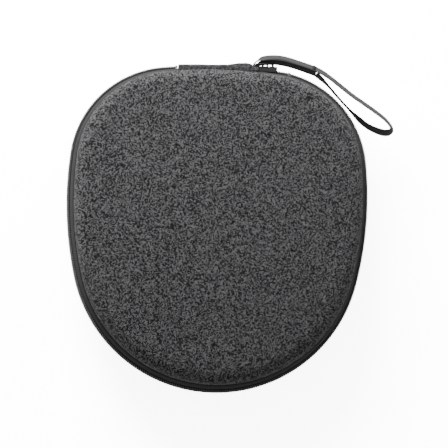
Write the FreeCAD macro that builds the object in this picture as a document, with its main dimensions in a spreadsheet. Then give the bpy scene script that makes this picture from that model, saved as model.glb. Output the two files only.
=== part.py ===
"""Zipped hard-shell carrying case for folded headphones.

Frame: millimetres, +Z up, +Y towards the hinge, +X to the right. The origin is the centre of the
flat underside. Every wall, tape and bead follows one outline of tangent arcs, set in by its own
amount, so neighbouring layers share exactly parallel faces.
"""
import FreeCAD
import Part

import math
import os

import Sketcher

DIMENSIONS = {
    # outline of the closed zip, seen from above: four radii and the places of their centres
    "back_radius": 301.1,
    "corner_radius": 65.7,
    "side_radius": 227.2,
    "front_radius": 92.9,
    "back_centre": 195.8,
    "corner_centre": 30.1,
    "side_centre": 130.4,
    # heights
    "case_height": 56.0,
    "parting": 28.0,
    "rim_gap": 7.0,
    "crown_radius": 700.0,
    "shoulder_radius": 10.5,
    "crown_room": 3.0,
    # wall layers
    "wall_inset": 5.0,
    "skin_thick": 1.0,
    "foam_thick": 3.5,
    "lining_thick": 0.8,
    # bead round each shell's edge
    "bead_thick": 0.8,
    "bead_tall": 1.6,
    "bead_round": 0.5,
    # zip
    "coil_deep": 2.2,
    "coil_low": 1.2,
    "coil_high": 3.0,
    "tape_inset": 2.3,
    "tape_thick": 0.6,
    "tape_bend": 4.6,
    "zip_left": 28.4,
    "zip_right_base": 38.0,
    "zip_right_lid": 43.0,
    "stop_long": 1.6,
    "stop_line": 20.0,
    "slider_room": 5.2,
    # binding round the inside of each rim
    "binding_thick": 0.8,
    "binding_tall": 10.0,
    # woven hinge
    "hinge_left": 28.0,
    "hinge_right": 23.6,
    "hinge_inset": 0.4,
    "hinge_thick": 1.2,
    "hinge_tall": 11.2,
    "hinge_room": 8.8,
    "hinge_bend": 4.6,
    "gusset_tall": 10.0,
    # slider
    "slider_long": 12.0,
    "slider_wide": 9.0,
    "slider_narrow": 8.0,
    "slider_round": 1.0,
    "plate_face": 1.8,
    "plate_under": 0.6,
    "slot_top": 1.6,
    "slot_overlap": 0.1,
    "inner_plate": 3.6,
    "slider_back": 4.9,
    "channel_wide": 7.0,
    "post_long": 3.4,
    "post_wide": 1.6,
    "post_inset": 0.9,
    # bail and pull ring
    "bail_long": 8.0,
    "bail_wide": 2.4,
    "bail_rise": 2.6,
    "bail_gap": 5.0,
    "bail_hole": 2.0,
    "bail_round": 1.6,
    "ring_rise": 2.9,
    "ring_long": 7.6,
    "ring_wide": 10.0,
    "ring_wire": 0.6,
    "ring_round": 1.3,
    "ring_shift": 0.3,
    # ribbon
    "ribbon_wide": 7.6,
    "ribbon_thick": 0.9,
    "stitch_long": 2.4,
    "stitch_wide": 6.0,
    "stitch_proud": 0.35,
    # mesh pocket in the lid
    "net_height": 37.5,
    "net_thick": 0.5,
    "net_edge": 8.0,
    "hem_wide": 9.0,
    "hem_thick": 1.6,
    "piping_wide": 1.6,
    "piping_tall": 3.0,
    # foam rest in the base
    "rest_long": 74.0,
    "rest_wide": 34.0,
    "rest_top": 23.0,
    "rest_round": 6.0,
    "rest_corner": 16.0,
    "rest_forward": 4.0,
    "cover_thick": 0.8,
    # reach of a cut that runs past every face of the case
    "cut_reach": 130.0,
}

# Depth of each layer's face inside the closed zip line, and thickness of the base's floor.
INNER_FACE = "(Dims.wall_inset + Dims.skin_thick + Dims.foam_thick + Dims.lining_thick)"
BOUND_FACE = f"({INNER_FACE} + Dims.binding_thick)"
FLOOR = "(Dims.skin_thick + Dims.foam_thick + Dims.lining_thick)"

# Two places closer than this count as one, in millimetres.
NEAR = 1e-3

# Share of the shorter run beside it that each arc of the ribbon's path takes up.
ARC_SHARE = 0.45

# The ribbon's route in plan, measured from the back of the outline: from its sewn end, left to the
# ring, round the ring's bar, back over the slider, out along the loop and home again.
RIBBON_ROUTE = (
    (61.2, -2.8),
    (54.8, -0.7),
    (48.1, 1.3),
    (41.6, 2.9),
    (35.0, 3.9),
    (28.4, 3.9),
    (23.45, 2.1),
    (23.45, -0.3),
    (20.95, -0.3),
    (20.95, 2.2),
    (24.2, 4.9),
    (30.2, 6.7),
    (36.8, 7.0),
    (43.4, 5.9),
    (50.0, 3.8),
    (56.8, 1.8),
    (63.6, -0.6),
    (70.6, -4.9),
    (78.0, -10.6),
    (85.6, -16.4),
    (93.4, -21.4),
    (101.2, -26.6),
    (108.0, -31.5),
    (112.6, -37.6),
    (108.8, -40.6),
    (101.5, -38.8),
    (94.6, -35.6),
    (88.2, -30.0),
    (82.6, -24.6),
    (77.0, -18.7),
    (71.8, -12.9),
    (66.8, -7.4),
    (61.9, -3.3),
)


def make_sheet(doc):
    """Put every driving dimension in the sheet, each under its own alias."""
    sheet = doc.addObject("Spreadsheet::Sheet", "Dims")
    for row, (name, value) in enumerate(DIMENSIONS.items(), start=1):
        sheet.set(f"A{row}", name)
        sheet.set(f"B{row}", str(value))
        sheet.setAlias(f"B{row}", name)
    doc.recompute()


def new_body(doc, name):
    body = doc.addObject("PartDesign::Body", name)
    body.Label = name
    return body


def value(body, expression):
    """The number that an expression on the sheet gives."""
    return float(body.evalExpression(expression))


def flat_sketch(body, name, role, level="0"):
    """A sketch on one of the body's own origin planes, raised by level along its normal."""
    sketch = body.newObject("Sketcher::SketchObject", name)
    plane = next(f for f in body.Origin.OriginFeatures if f.Role == role)
    sketch.AttachmentSupport = [(plane, "")]
    sketch.MapMode = "FlatFace"
    sketch.setExpression("AttachmentOffset.Base.z", level)
    return sketch


def bind(sketch, kind, first, second, expression):
    """A distance between two sketch points, each a (geometry, place) pair, bound to the sheet."""
    number = abs(value(sketch, expression))
    index = sketch.addConstraint(Sketcher.Constraint(kind, *first, *second, number))
    sketch.setExpression(f"Constraints[{index}]", f"abs({expression})")


def back_line(body):
    """How far behind the origin the closed zip reaches."""
    return value(body, "Dims.back_radius - Dims.back_centre")


def arc_centres(body):
    """Centres of the back, right corner, right side and front arcs, from their tangency."""
    back, corner, side, front = (
        value(body, f"Dims.{name}_radius") for name in ("back", "corner", "side", "front")
    )
    y_back = -value(body, "Dims.back_centre")
    x_corner = value(body, "Dims.corner_centre")
    x_side = -value(body, "Dims.side_centre")
    y_corner = y_back + math.sqrt((back - corner) ** 2 - x_corner**2)
    y_side = y_corner - math.sqrt((side - corner) ** 2 - (x_corner - x_side) ** 2)
    y_front = y_side - math.sqrt((side - front) ** 2 - x_side**2)
    return (0.0, y_back), (x_corner, y_corner), (x_side, y_side), (0.0, y_front)


def heading(start, end):
    return math.atan2(end[1] - start[1], end[0] - start[0])


def mirror(point):
    return (-point[0], point[1])


def outline_sketch(body, name, inset, level):
    """The closed outline, set in by inset, as six tangent arcs at a height."""
    sketch = flat_sketch(body, name, "XY_Plane", level)
    back, corner, side, front = arc_centres(body)
    join_back = heading(back, corner)
    join_side = heading(side, corner)
    join_front = heading(side, front)
    half = math.pi
    arcs = (
        ("back", back, join_back, half - join_back),
        ("corner", mirror(corner), half - join_back, half - join_side),
        ("side", mirror(side), half - join_side, half - join_front),
        ("front", front, half - join_front, 2 * half + join_front),
        ("side", side, join_front, join_side),
        ("corner", corner, join_side, join_back),
    )
    for kind, centre, start, end in arcs:
        radius = value(body, f"Dims.{kind}_radius - ({inset})")
        circle = Part.Circle(FreeCAD.Vector(*centre, 0), FreeCAD.Vector(0, 0, 1), radius)
        sketch.addGeometry(Part.ArcOfCircle(circle, start, end), False)
    for index in range(len(arcs)):
        following = (index + 1) % len(arcs)
        sketch.addConstraint(Sketcher.Constraint("Tangent", index, 2, following, 1))
    for index, (kind, _, _, _) in enumerate(arcs):
        radius = value(body, f"Dims.{kind}_radius - ({inset})")
        row = sketch.addConstraint(Sketcher.Constraint("Radius", index, radius))
        sketch.setExpression(f"Constraints[{row}]", f"Dims.{kind}_radius - ({inset})")
    sketch.addConstraint(Sketcher.Constraint("PointOnObject", 0, 3, -2))
    origin = (-1, 1)
    bind(sketch, "DistanceY", (0, 3), origin, "Dims.back_centre")
    bind(sketch, "DistanceX", (1, 3), origin, "Dims.corner_centre")
    bind(sketch, "DistanceX", origin, (5, 3), "Dims.corner_centre")
    bind(sketch, "DistanceX", origin, (2, 3), "Dims.side_centre")
    bind(sketch, "DistanceX", (4, 3), origin, "Dims.side_centre")
    return sketch


def rectangle(sketch, left, right, low, high):
    """Add a rectangle to a sketch, its four sides bound to expressions."""
    x0, x1, y0, y1 = (value(sketch, side) for side in (left, right, low, high))
    first = sketch.GeometryCount
    corners = [(x0, y0), (x1, y0), (x1, y1), (x0, y1)]
    for index, corner in enumerate(corners):
        following = corners[(index + 1) % 4]
        line = Part.LineSegment(FreeCAD.Vector(*corner, 0), FreeCAD.Vector(*following, 0))
        sketch.addGeometry(line, False)
    for index in range(4):
        following = (index + 1) % 4
        sketch.addConstraint(
            Sketcher.Constraint("Coincident", first + index, 2, first + following, 1)
        )
    for index, kind in enumerate(("Horizontal", "Vertical", "Horizontal", "Vertical")):
        sketch.addConstraint(Sketcher.Constraint(kind, first + index))
    origin = (-1, 1)
    for kind, geometry, place, expression, number in (
        ("DistanceX", first, 1, left, x0),
        ("DistanceX", first, 2, right, x1),
        ("DistanceY", first, 1, low, y0),
        ("DistanceY", first + 2, 1, high, y1),
    ):
        ends = (origin, (geometry, place)) if number > 0 else ((geometry, place), origin)
        bind(sketch, kind, *ends, expression)


def pad(body, name, sketch, length, **settings):
    feature = body.newObject("PartDesign::Pad", name)
    feature.Profile = (sketch, [""])
    feature.setExpression("Length", length)
    for key, setting in settings.items():
        setattr(feature, key, setting)
    body.Document.recompute()
    return feature


def pocket(body, name, sketch, length=None, **settings):
    """Cut a sketch through everything, or to a length, and make sure that it removed material."""
    before = body.Shape.Volume
    feature = body.newObject("PartDesign::Pocket", name)
    feature.Profile = (sketch, [""])
    if length is None:
        feature.Type = "ThroughAll"
    else:
        feature.setExpression("Length", length)
    for key, setting in settings.items():
        setattr(feature, key, setting)
    body.Document.recompute()
    if body.Shape.Volume >= before:
        raise ValueError(f"{body.Label}: {name} cuts nothing")
    return feature


def fillet(body, name, radius, wanted):
    """Round the edges of the body's tip for which wanted(edge) is true."""
    tip = body.Tip
    names = [f"Edge{n}" for n, edge in enumerate(tip.Shape.Edges, start=1) if wanted(edge)]
    feature = body.newObject("PartDesign::Fillet", name)
    feature.Base = (tip, names)
    feature.setExpression("Radius", radius)
    body.Document.recompute()
    return feature


def at_height(level):
    """True of an edge or face that lies wholly at one height."""
    return lambda item: (
        abs(item.BoundBox.ZMin - level) < NEAR and abs(item.BoundBox.ZMax - level) < NEAR
    )


def above(level):
    """True of an edge that lies wholly above one height."""
    return lambda edge: edge.BoundBox.ZMin > level + NEAR


def along(axis):
    """True of a straight edge that runs along one axis."""

    def wanted(edge):
        box = edge.BoundBox
        lengths = {"X": box.XLength, "Y": box.YLength, "Z": box.ZLength}
        return all((length > NEAR) == (name == axis) for name, length in lengths.items())

    return wanted


def hollow(body, name, thickness, level):
    """Shell the tip inwards by a wall thickness, open at the flat face at one height."""
    tip = body.Tip
    open_at = at_height(level)
    faces = [f"Face{n}" for n, face in enumerate(tip.Shape.Faces, start=1) if open_at(face)]
    feature = body.newObject("PartDesign::Thickness", name)
    feature.Base = (tip, faces)
    feature.Reversed = True
    feature.setExpression("Value", thickness)
    body.Document.recompute()
    return feature


def crown_cut(body, depth):
    """Turn the top of a lid layer down to a shallow dome, depth below the outer skin."""
    sketch = flat_sketch(body, "crown_section", "XZ_Plane")
    apex = value(body, f"Dims.case_height - ({depth})")
    radius = value(body, f"Dims.crown_radius - ({depth})")
    centre = apex - radius
    reach = value(body, "Dims.cut_reach")
    edge_height = centre + math.sqrt(radius**2 - reach**2)
    roof = value(body, f"Dims.case_height - ({depth}) + Dims.crown_room")
    circle = Part.Circle(FreeCAD.Vector(0, centre, 0), FreeCAD.Vector(0, 0, 1), radius)
    start = math.atan2(edge_height - centre, reach)
    sketch.addGeometry(Part.ArcOfCircle(circle, start, math.pi / 2), False)
    corners = [(0, apex), (0, roof), (reach, roof), (reach, edge_height)]
    for first, second in zip(corners, corners[1:]):
        line = Part.LineSegment(FreeCAD.Vector(*first, 0), FreeCAD.Vector(*second, 0))
        sketch.addGeometry(line, False)
    for first, second in (((0, 2), (1, 1)), ((1, 2), (2, 1)), ((2, 2), (3, 1)), ((3, 2), (0, 1))):
        sketch.addConstraint(Sketcher.Constraint("Coincident", *first, *second))
    for kind, line in (("Vertical", 1), ("Horizontal", 2), ("Vertical", 3)):
        sketch.addConstraint(Sketcher.Constraint(kind, line))
    sketch.addConstraint(Sketcher.Constraint("PointOnObject", 0, 3, -2))
    sketch.addConstraint(Sketcher.Constraint("PointOnObject", 1, 1, -2))
    row = sketch.addConstraint(Sketcher.Constraint("Radius", 0, radius))
    sketch.setExpression(f"Constraints[{row}]", f"Dims.crown_radius - ({depth})")
    origin = (-1, 1)
    bind(sketch, "DistanceY", origin, (1, 1), f"Dims.case_height - ({depth})")
    bind(sketch, "DistanceY", (1, 1), (1, 2), "Dims.crown_room")
    bind(sketch, "DistanceX", origin, (2, 2), "Dims.cut_reach")
    before = body.Shape.Volume
    groove = body.newObject("PartDesign::Groove", "crown")
    groove.Profile = (sketch, [""])
    groove.ReferenceAxis = (sketch, ["V_Axis"])
    groove.Angle = 360
    body.Document.recompute()
    if body.Shape.Volume >= before:
        raise ValueError(f"{body.Label}: the crown cuts nothing")


def lid_dome(doc, name, depth):
    """Solid dome whose face lies depth below the lid's outer skin."""
    body = new_body(doc, name)
    rim = "Dims.parting + Dims.rim_gap"
    sketch = outline_sketch(body, "outline", f"Dims.wall_inset + {depth}", rim)
    pad(body, "block", sketch, f"Dims.case_height - ({rim}) - ({depth})")
    crown_cut(body, depth)
    fillet(body, "shoulder", f"Dims.shoulder_radius - ({depth})", above(value(body, rim)))
    return body


def lid_layers(doc, names, depths):
    """The lid's nested layers: each is one dome less the next one in."""
    domes = [lid_dome(doc, f"lid_dome_{n}", depth) for n, depth in enumerate(depths)]
    layers = []
    for name, outer, inner in zip(names, domes, domes[1:]):
        layer = doc.addObject("Part::Cut", name)
        layer.Label = name
        layer.Base = outer
        layer.Tool = inner
        layers.append(layer)
    doc.recompute()
    return layers


def base_layer(doc, name, depth, thickness):
    """One layer of the base, its outer face depth inside the outer skin."""
    body = new_body(doc, name)
    rim = "Dims.parting - Dims.rim_gap"
    sketch = outline_sketch(body, "outline", f"Dims.wall_inset + {depth}", f"{depth}")
    pad(body, "block", sketch, f"{rim} - ({depth})")
    bottom = value(body, depth)
    fillet(body, "shoulder", f"Dims.shoulder_radius - ({depth})", at_height(bottom))
    hollow(body, "wall", thickness, value(body, rim))
    return body


def ring(doc, name, outer, inner, low, high):
    """A flat-sided ring between two insets of the outline and two heights."""
    body = new_body(doc, name)
    pad(body, "block", outline_sketch(body, "outer", outer, low), f"({high}) - ({low})")
    pocket(body, "opening", outline_sketch(body, "inner", inner, high))
    return body


def window(body, name, left, right, low, high):
    """Cut a window through the back wall only, between two x and two z values."""
    sketch = flat_sketch(body, f"{name}_sketch", "XZ_Plane")
    rectangle(sketch, left, right, low, high)
    return pocket(body, name, sketch)


def keep_back(body, left, right, low, high):
    """Keep only the stretch of a ring's back between two x values."""
    window(body, "left_end", "-Dims.cut_reach", left, low, high)
    window(body, "right_end", right, "Dims.cut_reach", low, high)
    cut_front(body, "front", "Dims.stop_line")


def cut_back(body, name, line):
    """Remove everything behind y = line."""
    sketch = flat_sketch(body, f"{name}_sketch", "XY_Plane", "Dims.case_height")
    rectangle(sketch, "-Dims.cut_reach", "Dims.cut_reach", line, "Dims.cut_reach")
    pocket(body, name, sketch)


def cut_front(body, name, line):
    """Remove everything in front of y = line."""
    sketch = flat_sketch(body, f"{name}_sketch", "XY_Plane", "Dims.case_height")
    rectangle(sketch, "-Dims.cut_reach", "Dims.cut_reach", "-Dims.cut_reach", line)
    pocket(body, name, sketch)


def heights(side, near, far):
    """Low and high expressions for a span from the parting plane, up for the lid, else down."""
    if side == "lid":
        return f"Dims.parting + {near}", f"Dims.parting + {far}"
    return f"Dims.parting - ({far})", f"Dims.parting - ({near})"


def bead(doc, side):
    """Rounded bead that finishes the edge of a shell's fabric."""
    tall = "(Dims.rim_gap + Dims.bead_tall)"
    low, high = heights(side, "Dims.rim_gap", tall)
    outer = "Dims.wall_inset - Dims.bead_thick"
    body = ring(doc, f"{side}_bead", outer, "Dims.wall_inset", low, high)
    fillet(body, "rounding", "Dims.bead_round", lambda edge: on_outline(body, edge, outer))
    return body


def on_outline(body, edge, inset):
    """True of a level edge that belongs to the outline set in by inset."""
    if edge.BoundBox.ZLength > NEAR:
        return False
    point = edge.valueAt((edge.FirstParameter + edge.LastParameter) / 2)
    for kind, centre in zip(("back", "corner", "side", "front"), arc_centres(body)):
        radius = value(body, f"Dims.{kind}_radius - ({inset})")
        for x, y in (centre, mirror(centre)):
            if abs(math.hypot(point.x - x, point.y - y) - radius) < NEAR:
                return True
    return False


def skirt(doc, name, side, inset, thick, near, far, bend):
    """A band that stands at the parting plane and bends inwards at its far edge."""
    body = new_body(doc, name)
    low, high = heights(side, near, far)
    sketch = outline_sketch(body, "outer", inset, low)
    pad(body, "block", sketch, f"({high}) - ({low})")
    bend_level = value(body, high if side == "lid" else low)
    fillet(body, "bend", bend, at_height(bend_level))
    hollow(body, "wall", thick, value(body, low if side == "lid" else high))
    return body


def zip_tape(doc, side):
    """Half of the zip's tape, from its coil to where the shell's lining holds it."""
    name = f"{side}_zip_tape"
    near, far = "Dims.coil_low", "Dims.rim_gap"
    body = skirt(
        doc, name, side, "Dims.tape_inset", "Dims.tape_thick", near, far, "Dims.tape_bend"
    )
    low, high = heights(side, near, far)
    pocket(body, "opening", outline_sketch(body, "inner", INNER_FACE, high))
    right = f"Dims.zip_right_{side}"
    window(body, "hinge_gap", "-Dims.hinge_left", "Dims.hinge_right", low, high)
    slot_low, slot_high = heights(side, near, "Dims.slider_room")
    window(body, "slider_gap", "Dims.hinge_right / 2", right, slot_low, slot_high)
    return body


def zip_coil(doc, side):
    """Envelope of the coil of teeth along one tape."""
    low, high = heights(side, "Dims.coil_low", "Dims.coil_high")
    body = ring(doc, f"{side}_zip_coil", "0", "Dims.coil_deep", low, high)
    left = "-(Dims.zip_left + Dims.stop_long)"
    right = f"Dims.zip_right_{side} + Dims.stop_long"
    window(body, "hinge_gap", left, right, low, high)
    return body


def zip_stops(doc, side):
    """The two stops that close the ends of one coil."""
    low, high = heights(side, "Dims.coil_low", "Dims.coil_high")
    body = ring(doc, f"{side}_zip_stops", "0", "Dims.coil_deep", low, high)
    left, right = "-Dims.zip_left", f"Dims.zip_right_{side}"
    window(body, "hinge_gap", left, right, low, high)
    keep_back(body, f"{left} - Dims.stop_long", f"{right} + Dims.stop_long", low, high)
    return body


def binding(doc, side):
    """Tape that covers the seam inside a rim."""
    low, high = heights(side, "(Dims.rim_gap - Dims.tape_thick)", "Dims.binding_tall")
    return ring(doc, f"{side}_binding", INNER_FACE, BOUND_FACE, low, high)


def hinge_spine(doc):
    """Woven strip that joins the two shells across the back and bends as the lid opens."""
    body = new_body(doc, "hinge_spine")
    low, high = "Dims.parting - Dims.hinge_tall", "Dims.parting + Dims.hinge_tall"
    sketch = outline_sketch(body, "outer", "Dims.hinge_inset", low)
    pad(body, "block", sketch, f"({high}) - ({low})")
    ends = (value(body, low), value(body, high))
    fillet(
        body, "bends", "Dims.hinge_bend", lambda edge: any(at_height(end)(edge) for end in ends)
    )
    deep = "Dims.hinge_inset + Dims.hinge_thick"
    pocket(body, "inside", outline_sketch(body, "inner", "Dims.wall_inset", high))
    cavity = outline_sketch(body, "hollow_outline", deep, "Dims.parting + Dims.hinge_room")
    pocket(body, "hollow", cavity, "2 * Dims.hinge_room")
    keep_back(body, "-Dims.hinge_left", "Dims.hinge_right", low, high)
    return body


def hinge_gusset(doc):
    """Lining strip that covers the hinge inside the case."""
    low, high = "Dims.parting - Dims.gusset_tall", "Dims.parting + Dims.gusset_tall"
    body = ring(doc, "hinge_gusset", BOUND_FACE, f"{BOUND_FACE} + Dims.lining_thick", low, high)
    keep_back(body, "-Dims.hinge_left", "Dims.hinge_right", low, high)
    return body


def polygon(sketch, points):
    """Add a closed polygon whose corners are pairs of expressions."""
    first = sketch.GeometryCount
    numbers = [tuple(value(sketch, part) for part in point) for point in points]
    count = len(points)
    for index, number in enumerate(numbers):
        following = numbers[(index + 1) % count]
        line = Part.LineSegment(FreeCAD.Vector(*number, 0), FreeCAD.Vector(*following, 0))
        sketch.addGeometry(line, False)
    origin = (-1, 1)
    for index in range(count):
        following = (index + 1) % count
        sketch.addConstraint(
            Sketcher.Constraint("Coincident", first + index, 2, first + following, 1)
        )
    for index, (point, number) in enumerate(zip(points, numbers)):
        corner = (first + index, 1)
        for kind, expression, size in zip(("DistanceX", "DistanceY"), point, number):
            if size == 0:
                axis = -2 if kind == "DistanceX" else -1
                sketch.addConstraint(Sketcher.Constraint("PointOnObject", *corner, axis))
            else:
                ends = (origin, corner) if size > 0 else (corner, origin)
                bind(sketch, kind, *ends, expression)


def slider_place(doc):
    """The middle of the parked slider: on the zip line, above the centre of the corner arc."""
    body = doc.getObject("base_outer_fabric")
    x, y = arc_centres(body)[1]
    radius = value(body, "Dims.corner_radius")
    return FreeCAD.Vector(x, y + radius, value(body, "Dims.parting"))


def slider_body(doc):
    """Zip slider: an outer and an inner plate joined by the post that parts the teeth.

    Its own frame: X along the zip, Y outwards from the coil's face, Z up.
    """
    body = new_body(doc, "slider_body")
    plan = flat_sketch(body, "plan", "XZ_Plane", "-Dims.plate_face")
    half = "Dims.slider_long / 2"
    wide, narrow = "Dims.slider_wide / 2", "Dims.slider_narrow / 2"
    corners = (
        (f"-{half}", f"-{wide}"),
        (half, f"-{narrow}"),
        (half, narrow),
        (f"-{half}", wide),
    )
    polygon(plan, corners)
    pad(body, "plates", plan, "Dims.plate_face + Dims.slider_back")
    fillet(body, "corners", "Dims.slider_round", along("Y"))
    channel = flat_sketch(body, "channel_plan", "XZ_Plane", "-Dims.plate_under")
    rectangle(
        channel,
        "-Dims.slider_long",
        "Dims.slider_long",
        "-Dims.channel_wide / 2",
        "Dims.channel_wide / 2",
    )
    tip = f"-{half} + Dims.post_inset"
    polygon(
        channel,
        (
            (tip, "-Dims.post_wide / 4"),
            (f"{tip} + Dims.post_long / 2", "-Dims.post_wide / 2"),
            (f"{tip} + Dims.post_long", "-Dims.post_wide / 4"),
            (f"{tip} + Dims.post_long", "Dims.post_wide / 4"),
            (f"{tip} + Dims.post_long / 2", "Dims.post_wide / 2"),
            (tip, "Dims.post_wide / 4"),
        ),
    )
    pocket(body, "channel", channel, "Dims.plate_under + Dims.inner_plate", Reversed=True)
    slots = flat_sketch(body, "slot_plan", "XZ_Plane", "Dims.slot_top")
    outside = "Dims.slider_wide"
    inside = "(Dims.channel_wide / 2 - Dims.slot_overlap)"
    rectangle(slots, "-Dims.slider_long", "Dims.slider_long", inside, outside)
    rectangle(slots, "-Dims.slider_long", "Dims.slider_long", f"-{outside}", f"-{inside}")
    pocket(body, "tape_slots", slots, "Dims.inner_plate - Dims.slot_top", Reversed=True)
    return body


def slider_bail(doc):
    """Arched bridge on the slider's outer plate that the pull ring hangs from."""
    body = new_body(doc, "slider_bail")
    side = flat_sketch(body, "side", "XY_Plane")
    base, top = "Dims.plate_face", "Dims.plate_face + Dims.bail_rise"
    rectangle(side, "-Dims.bail_long / 2", "Dims.bail_long / 2", base, top)
    pad(body, "arch", side, "Dims.bail_wide", Midplane=True)
    high = value(body, top)
    fillet(
        body,
        "shoulders",
        "Dims.bail_round",
        lambda edge: along("Z")(edge) and edge.BoundBox.YMin > high - NEAR,
    )
    hole = flat_sketch(body, "hole", "XY_Plane")
    lower, upper = "Dims.plate_face / 2", "Dims.plate_face + Dims.bail_hole"
    rectangle(hole, "-Dims.bail_gap / 2", "Dims.bail_gap / 2", lower, upper)
    pocket(body, "opening", hole, Midplane=True)
    return body


def pull_ring(doc):
    """Wire ring: one bar turns in the bail and the opposite bar carries the ribbon."""
    body = new_body(doc, "pull_ring")
    path = flat_sketch(body, "path", "XZ_Plane")
    add_round_loop(path, "Dims.ring_long", "Dims.ring_wide / 2", "Dims.ring_round")
    body.Document.recompute()
    section = flat_sketch(body, "wire", "YZ_Plane", "-Dims.ring_long / 2")
    half, wire = value(body, "Dims.ring_wide / 2"), value(body, "Dims.ring_wire")
    circle = Part.Circle(FreeCAD.Vector(0, half, 0), FreeCAD.Vector(0, 0, 1), wire)
    section.addGeometry(circle, False)
    section.addConstraint(Sketcher.Constraint("PointOnObject", 0, 3, -2))
    bind(section, "DistanceY", (-1, 1), (0, 3), "Dims.ring_wide / 2")
    row = section.addConstraint(Sketcher.Constraint("Radius", 0, wire))
    section.setExpression(f"Constraints[{row}]", "Dims.ring_wire")
    pipe = body.newObject("PartDesign::AdditivePipe", "ring")
    pipe.Profile = (section, [""])
    pipe.Spine = (path, [])
    body.Document.recompute()
    return body


def add_round_loop(sketch, far, half, radius):
    """A closed rectangle from x = -far to 0 and y = -half to half, with rounded corners."""
    left, tall, round_ = (value(sketch, expression) for expression in (far, half, radius))
    corners = [
        FreeCAD.Vector(x, y, 0) for x, y in ((0, tall), (-left, tall), (-left, -tall), (0, -tall))
    ]
    for index, here in enumerate(corners):
        following = corners[(index + 1) % len(corners)]
        back = (corners[index - 1] - here).normalize() * round_
        ahead = (following - here).normalize() * round_
        waist = here + (back + ahead) * (1 - math.sqrt(0.5))
        sketch.addGeometry(Part.Arc(here + back, waist, here + ahead), False)
        sketch.addGeometry(Part.LineSegment(here + ahead, following - ahead), False)
    count = sketch.GeometryCount
    for arc in range(0, count, 2):
        enters, leaves = arc_ends(sketch, arc)
        sketch.addConstraint(Sketcher.Constraint("Tangent", (arc - 1) % count, 2, arc, enters))
        sketch.addConstraint(Sketcher.Constraint("Tangent", arc, leaves, arc + 1, 1))
        row = sketch.addConstraint(Sketcher.Constraint("Radius", arc, round_))
        sketch.setExpression(f"Constraints[{row}]", radius)
    top, far_bar, bottom, near_bar = range(1, count, 2)
    for kind, line in (
        ("Horizontal", top),
        ("Vertical", far_bar),
        ("Horizontal", bottom),
        ("Vertical", near_bar),
    ):
        sketch.addConstraint(Sketcher.Constraint(kind, line))
    origin = (-1, 1)
    bind(sketch, "DistanceX", (far_bar, 1), origin, far)
    bind(sketch, "DistanceY", origin, (top, 1), half)
    bind(sketch, "DistanceY", (bottom, 1), origin, half)
    sketch.addConstraint(Sketcher.Constraint("PointOnObject", near_bar, 1, -2))


def arc_ends(sketch, index):
    """Which numbered points of an arc the loop enters and leaves by."""
    arc = sketch.Geometry[index]
    line = sketch.Geometry[index + 1]
    leaves_last = arc.EndPoint.distanceToPoint(line.StartPoint) < NEAR
    return (1, 2) if leaves_last else (2, 1)


def tangent_path(points):
    """Straight runs joined by arcs as large as the runs allow, and the arcs' radii."""
    vectors = [FreeCAD.Vector(*point) for point in points]
    edges = []
    radii = []
    last = vectors[0]
    for before, here, after in zip(vectors, vectors[1:], vectors[2:]):
        back, ahead = before - here, after - here
        reach = ARC_SHARE * min(back.Length, ahead.Length)
        turn = math.pi - back.getAngle(ahead)
        radius = reach / math.tan(turn / 2)
        start = here + back.normalize() * reach
        end = here + ahead.normalize() * reach
        inward = (back + ahead).normalize()
        waist = here + inward * (radius / math.cos(turn / 2) - radius)
        edges.append(Part.LineSegment(last, start).toShape())
        edges.append(Part.Arc(start, waist, end).toShape())
        radii.append(radius)
        last = end
    edges.append(Part.LineSegment(last, vectors[-1]).toShape())
    return Part.Wire(edges), radii


def ribbon(doc):
    """Flat ribbon on edge: a doubled strap that opens into a loop at its far end."""
    feature = doc.addObject("Part::Feature", "ribbon_loop")
    feature.Label = "ribbon_loop"
    wide, thick, level = (
        value(feature, f"Dims.{name}") for name in ("ribbon_wide", "ribbon_thick", "parting")
    )
    route = [(x, y + back_line(feature), 0) for x, y in RIBBON_ROUTE]
    path, radii = tangent_path(route)
    print("ribbon arc radii", [round(radius, 1) for radius in radii])
    flat = path.makeOffset2D(thick / 2, 0, True, False)
    band = flat.extrude(FreeCAD.Vector(0, 0, wide))
    band.translate(FreeCAD.Vector(0, 0, level - wide / 2))
    feature.Shape = band
    print("ribbon length", path.Length, "volume ratio", band.Volume / (path.Length * wide * thick))
    return feature


def net(doc):
    """Mesh panel of the lid's pocket, hung below the lid's lining."""
    body = new_body(doc, "pocket_net")
    sketch = outline_sketch(body, "outline", BOUND_FACE, "Dims.net_height")
    pad(body, "panel", sketch, "Dims.net_thick")
    cut_back(body, "mouth", "Dims.net_edge")
    return body


def pocket_hem(doc):
    """Elastic band sewn along the mouth of the mesh pocket."""
    body = new_body(doc, "pocket_hem")
    low = "Dims.net_height - (Dims.hem_thick - Dims.net_thick) / 2"
    pad(body, "band", outline_sketch(body, "outline", BOUND_FACE, low), "Dims.hem_thick")
    cut_back(body, "mouth_side", "Dims.net_edge + Dims.hem_wide")
    cut_front(body, "net_side", "Dims.net_edge")
    return body


def pocket_piping(doc):
    """Piping that holds the net's curved edge against the lid's wall."""
    low = "Dims.net_height + Dims.net_thick"
    high = f"{low} + Dims.piping_tall"
    inner = f"{BOUND_FACE} + Dims.piping_wide"
    body = ring(doc, "pocket_piping", BOUND_FACE, inner, low, high)
    cut_back(body, "mouth", "Dims.net_edge")
    return body


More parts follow.
